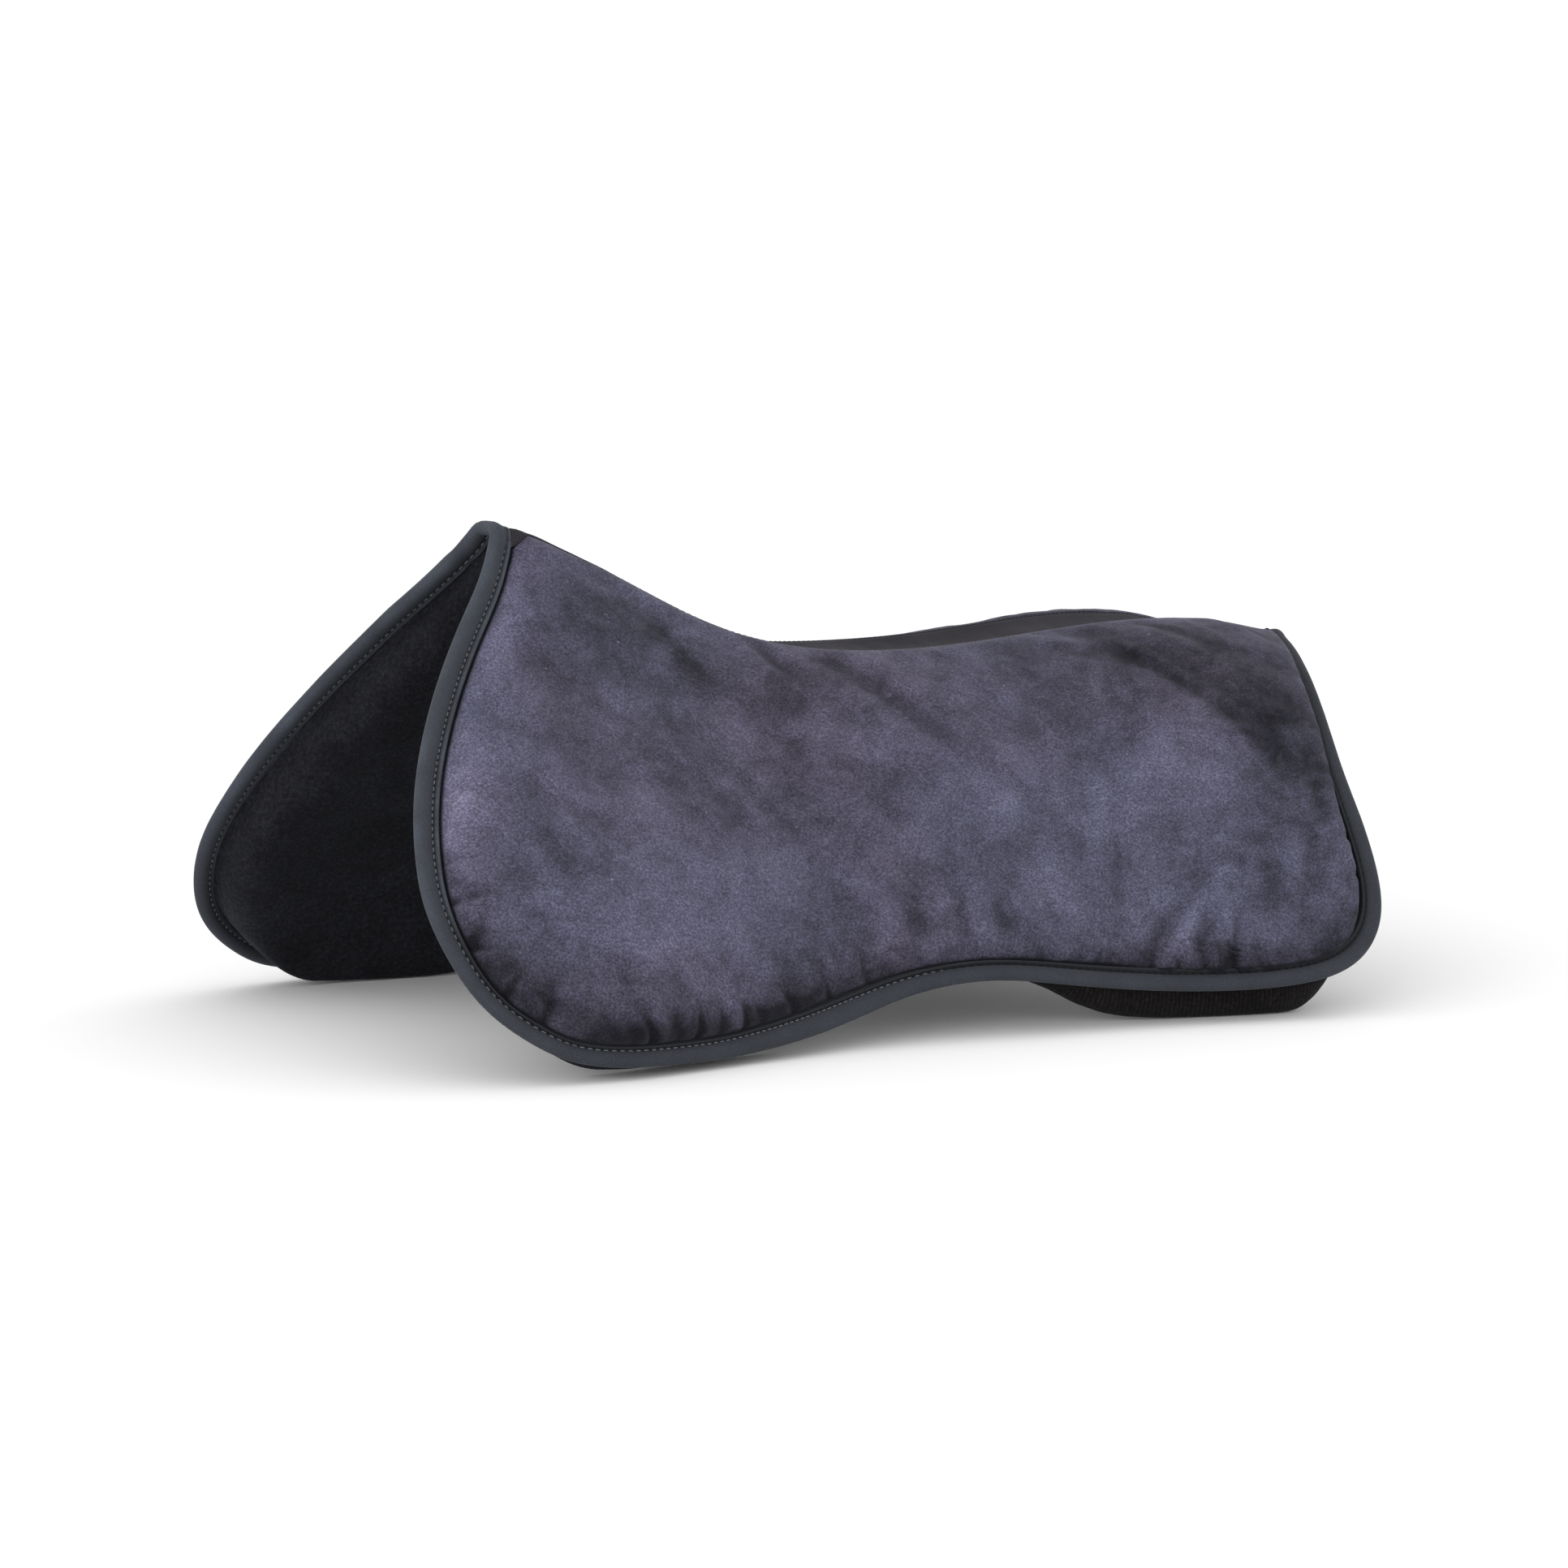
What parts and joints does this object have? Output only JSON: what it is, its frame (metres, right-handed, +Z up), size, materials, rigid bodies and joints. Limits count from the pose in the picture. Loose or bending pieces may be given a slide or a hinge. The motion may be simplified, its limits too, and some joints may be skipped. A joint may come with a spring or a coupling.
{
  "type": "memory foam saddle half pad",
  "caption": "Suede-covered memory foam half pad for under a riding saddle: foam halves joined by a foam-free spine strip, bound edges, standing on its lobes.",
  "frame": {"origin": "on the surface the pad stands on, under the middle of its box", "axes": "+X from the withers end to the loin end, -Y to the horse's left, +Z up"},
  "size_m": [0.5866, 0.4322, 0.2594],
  "materials": {
    "suede": "matte",
    "foam": "matte",
    "lining": "matte",
    "binding_tape": "matte",
    "thread": "matte",
    "strip_cloth": "matte"
  },
  "bodies": {
    "spine": {"spine_strip_top": "strip_cloth", "spine_strip_lining": "lining", "binding_bridge_withers": "binding_tape", "binding_bridge_loin": "binding_tape"},
    "left_half": {"suede_cover_left": "suede", "memory_foam_left": "foam", "lining_left": "lining", "binding_left": "binding_tape", "edge_stitching_left": "thread", "seam_stitching_left": "thread"},
    "right_half": {"suede_cover_right": "suede", "memory_foam_right": "foam", "lining_right": "lining", "binding_right": "binding_tape", "edge_stitching_right": "thread", "seam_stitching_right": "thread"}
  },
  "joints": [
    {"name": "left_half_fold", "type": "hinge", "parent": "spine", "child": "left_half", "pos_m": [0.05, -0.034, 0.206], "axis": [-0.9896, 0.0396, 0.1385], "range_deg": [-20, 50], "deforming": ["spine_strip_top", "spine_strip_lining", "binding_bridge_withers", "binding_bridge_loin"]},
    {"name": "right_half_fold", "type": "hinge", "parent": "spine", "child": "right_half", "pos_m": [0.05, 0.034, 0.206], "axis": [0.9896, 0.0396, -0.1385], "range_deg": [-20, 50], "deforming": ["spine_strip_top", "spine_strip_lining", "binding_bridge_withers", "binding_bridge_loin"]}
  ]
}
